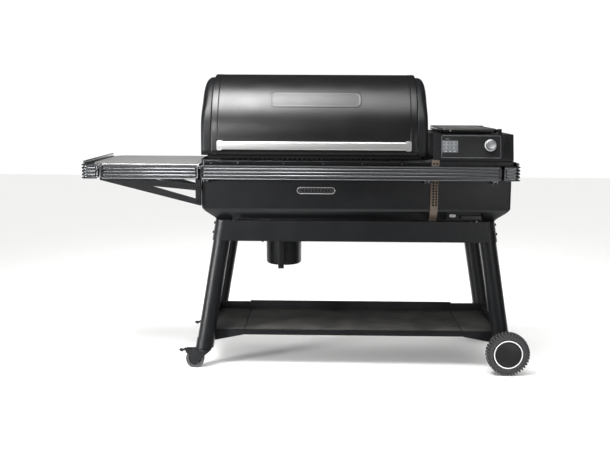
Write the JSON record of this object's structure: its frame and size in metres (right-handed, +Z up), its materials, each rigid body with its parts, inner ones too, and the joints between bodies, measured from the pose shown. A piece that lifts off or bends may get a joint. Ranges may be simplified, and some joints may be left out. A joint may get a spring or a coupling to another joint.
{
  "type": "pellet smoker grill",
  "caption": "Wheeled wood-pellet smoker: hinged barrel lid, hopper with dial controls, accessory rails, steel side shelf, splayed tube legs and lower shelf.",
  "frame": {"origin": "on the floor, at the middle of the whole grill's plan box", "axes": "+X to the right as the cook faces the controls, +Y to the back, +Z up"},
  "size_m": [1.7957, 0.656, 1.202],
  "materials": {
    "black_powder_coat": "fine textured black powder coat",
    "lid_paint": "satin black powder coat with orange peel",
    "rail_metal": "brushed and ribbed dark anodised aluminium",
    "shelf_steel": "fine brushed stainless steel",
    "handle_metal": "satin aluminium",
    "bronze_mesh": "dark bronze perforated strip",
    "badge_metal": "brushed aluminium with dark sunk field",
    "panel_plastic": "matte black fascia",
    "screen_glass": "lit grey display",
    "dial_metal": "turned and blasted aluminium",
    "bare_steel": "plain bright steel",
    "hot_steel": "heat-darkened steel",
    "grate_enamel": "porcelain-enamelled steel rod",
    "fastener_black": "black oxide screws",
    "gasket_rope": "woven high-temperature gasket",
    "tyre_rubber": "moulded tread",
    "hub_plastic": "moulded black nylon",
    "caster_rubber": "grey-black thermoplastic rubber",
    "caster_steel": "black e-coated pressed steel",
    "pedal_plastic": "moulded black nylon",
    "button_metal": "bright button",
    "motor_metal": "grey motor and fan castings"
  },
  "bodies": {
    "grill": {"barrel_tray": "black_powder_coat", "front_wall": "black_powder_coat", "rear_wall": "black_powder_coat", "hopper_deck": "black_powder_coat", "body_screws": "fastener_black", "front_rails": "rail_metal", "left_end_rail": "rail_metal", "right_end_rail": "rail_metal", "side_shelf": "shelf_steel", "front_shelf_bracket": "black_powder_coat", "rear_shelf_bracket": "black_powder_coat", "vent_band": "bronze_mesh", "badge_plate": "badge_metal", "hopper_casing": "black_powder_coat", "hopper_bin": "bare_steel", "control_panel": "panel_plastic", "display_screen": "screen_glass", "switch_recess": "black_powder_coat", "front_beam": "black_powder_coat", "rear_beam": "black_powder_coat", "front_left_leg": "black_powder_coat", "rear_left_leg": "black_powder_coat", "front_right_leg": "black_powder_coat", "rear_right_leg": "black_powder_coat", "lower_shelf": "black_powder_coat", "wheel_axle": "bare_steel", "fire_pot": "hot_steel", "auger_tube": "bare_steel", "auger_motor": "motor_metal", "igniter_rod": "bare_steel", "fan_housing": "motor_metal", "heat_baffle": "hot_steel", "drip_tray": "hot_steel", "lower_grate": "grate_enamel", "upper_grate": "grate_enamel", "exhaust_duct": "black_powder_coat", "body_hinges": "black_powder_coat"},
    "lid": {"lid_shell": "lid_paint", "left_lid_cap": "lid_paint", "right_lid_cap": "lid_paint", "lid_gasket": "gasket_rope", "lid_handle": "handle_metal", "lid_hinges": "black_powder_coat"},
    "hopper_hatch": {"hopper_lid": "black_powder_coat"},
    "dial_stem": {"dial_shaft": "bare_steel"},
    "dial": {"dial_knob": "dial_metal"},
    "switch": {"power_button": "button_metal"},
    "front_wheel": {"front_tyre": "tyre_rubber", "front_hub": "hub_plastic"},
    "rear_wheel": {"rear_tyre": "tyre_rubber", "rear_hub": "hub_plastic"},
    "front_caster": {"front_fork": "caster_steel"},
    "front_caster_roller": {"front_caster_wheel": "caster_rubber"},
    "front_pedal": {"front_brake": "pedal_plastic"},
    "rear_caster": {"rear_fork": "caster_steel"},
    "rear_caster_roller": {"rear_caster_wheel": "caster_rubber"},
    "rear_pedal": {"rear_brake": "pedal_plastic"},
    "feed_screw": {"auger": "bare_steel"},
    "fan_rotor": {"fan_impeller": "motor_metal"},
    "keg": {"grease_keg": "black_powder_coat"}
  },
  "joints": [
    {"name": "lid_hinge", "type": "hinge", "parent": "grill", "child": "lid", "pos_m": [0.02, 0.294, 0.88], "axis": [-1, 0, 0], "range_deg": [0, 78]},
    {"name": "hopper_lid_hinge", "type": "hinge", "parent": "grill", "child": "hopper_hatch", "pos_m": [0.759, -0.02, 0.979], "axis": [0, 1, 0], "range_deg": [0, 100]},
    {"name": "dial_press", "type": "slide", "parent": "grill", "child": "dial_stem", "axis": [0, 0.9769, -0.2137], "range_m": [0, 0.002], "stiffness_N_per_m": 800, "springref_m": -0.001},
    {"name": "dial_turn", "type": "hinge", "parent": "dial_stem", "child": "dial", "pos_m": [0.715, -0.29046, 0.92475], "axis": [0, 0.9769, -0.2137], "continuous": true},
    {"name": "power_press", "type": "slide", "parent": "grill", "child": "switch", "axis": [0, 1, 0], "range_m": [0, 0.002], "stiffness_N_per_m": 600, "springref_m": -0.001},
    {"name": "front_wheel_spin", "type": "hinge", "parent": "grill", "child": "front_wheel", "pos_m": [0.811, -0.295, 0.0887], "axis": [0, 1, 0], "continuous": true},
    {"name": "rear_wheel_spin", "type": "hinge", "parent": "grill", "child": "rear_wheel", "pos_m": [0.811, 0.295, 0.0887], "axis": [0, 1, 0], "continuous": true},
    {"name": "front_caster_swivel", "type": "hinge", "parent": "grill", "child": "front_caster", "pos_m": [-0.42134, -0.233, 0.08], "axis": [0, 0, 1], "continuous": true},
    {"name": "front_caster_roll", "type": "hinge", "parent": "front_caster", "child": "front_caster_roller", "pos_m": [-0.46134, -0.233, 0.038], "axis": [0, 1, 0], "continuous": true},
    {"name": "front_brake_pedal", "type": "hinge", "parent": "front_caster", "child": "front_pedal", "pos_m": [-0.49134, -0.233, 0.072], "axis": [0, -1, 0], "range_deg": [0, 14]},
    {"name": "rear_caster_swivel", "type": "hinge", "parent": "grill", "child": "rear_caster", "pos_m": [-0.42134, 0.233, 0.08], "axis": [0, 0, 1], "continuous": true},
    {"name": "rear_caster_roll", "type": "hinge", "parent": "rear_caster", "child": "rear_caster_roller", "pos_m": [-0.46134, 0.233, 0.038], "axis": [0, 1, 0], "continuous": true},
    {"name": "rear_brake_pedal", "type": "hinge", "parent": "rear_caster", "child": "rear_pedal", "pos_m": [-0.49134, 0.233, 0.072], "axis": [0, -1, 0], "range_deg": [0, 14]},
    {"name": "auger_turn", "type": "hinge", "parent": "grill", "child": "feed_screw", "pos_m": [0.4, 0, 0.664], "axis": [1, 0, 0], "continuous": true},
    {"name": "fan_turn", "type": "hinge", "parent": "grill", "child": "fan_rotor", "pos_m": [0.64, 0.15, 0.7], "axis": [1, 0, 0], "continuous": true},
    {"name": "keg_drop", "type": "slide", "parent": "grill", "child": "keg", "axis": [0, 0, -1], "range_m": [0, 0.12]}
  ]
}
